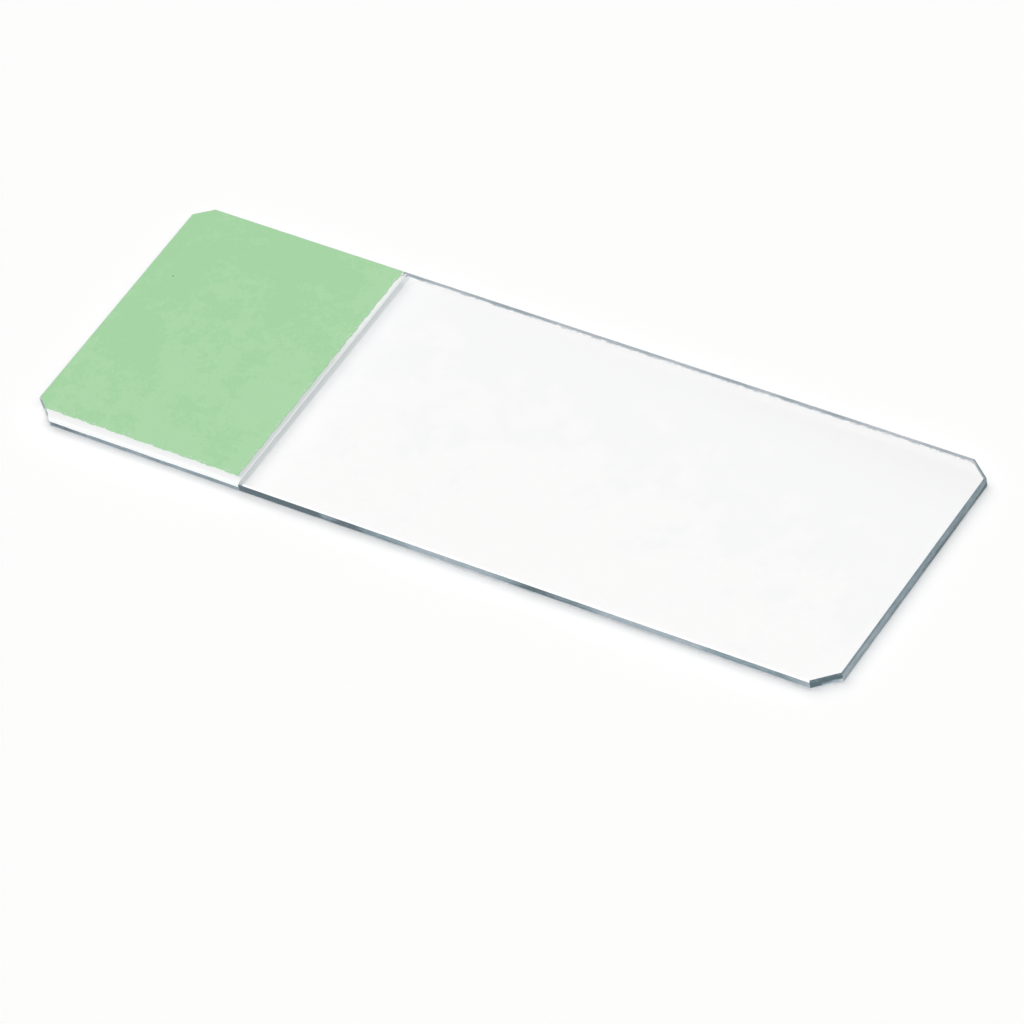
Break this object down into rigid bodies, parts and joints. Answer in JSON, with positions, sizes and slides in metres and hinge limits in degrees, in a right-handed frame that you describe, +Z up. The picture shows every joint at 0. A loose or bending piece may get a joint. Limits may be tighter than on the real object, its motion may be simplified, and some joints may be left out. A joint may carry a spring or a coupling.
{
  "type": "microscope slide",
  "caption": "Flat glass slide with clipped corners and ground edges, with a white-backed green coat at one end to write on.",
  "frame": {"origin": "in the plane of the underside, at the middle of the plate", "axes": "+X along the plate, away from the marked end; +Y across the plate, away from the long side where the colour stops short; +Z up, out of the coated face"},
  "size_m": [0.076, 0.026, 0.0011],
  "materials": {
    "clear_glass": "clear polished faces, ground edges",
    "white_enamel": "matt printed enamel",
    "green_enamel": "matt printed enamel, made to be written on"
  },
  "bodies": {
    "root": {"glass_plate": "clear_glass", "white_base_coat": "white_enamel", "green_marking_coat": "green_enamel"}
  },
  "joints": []
}
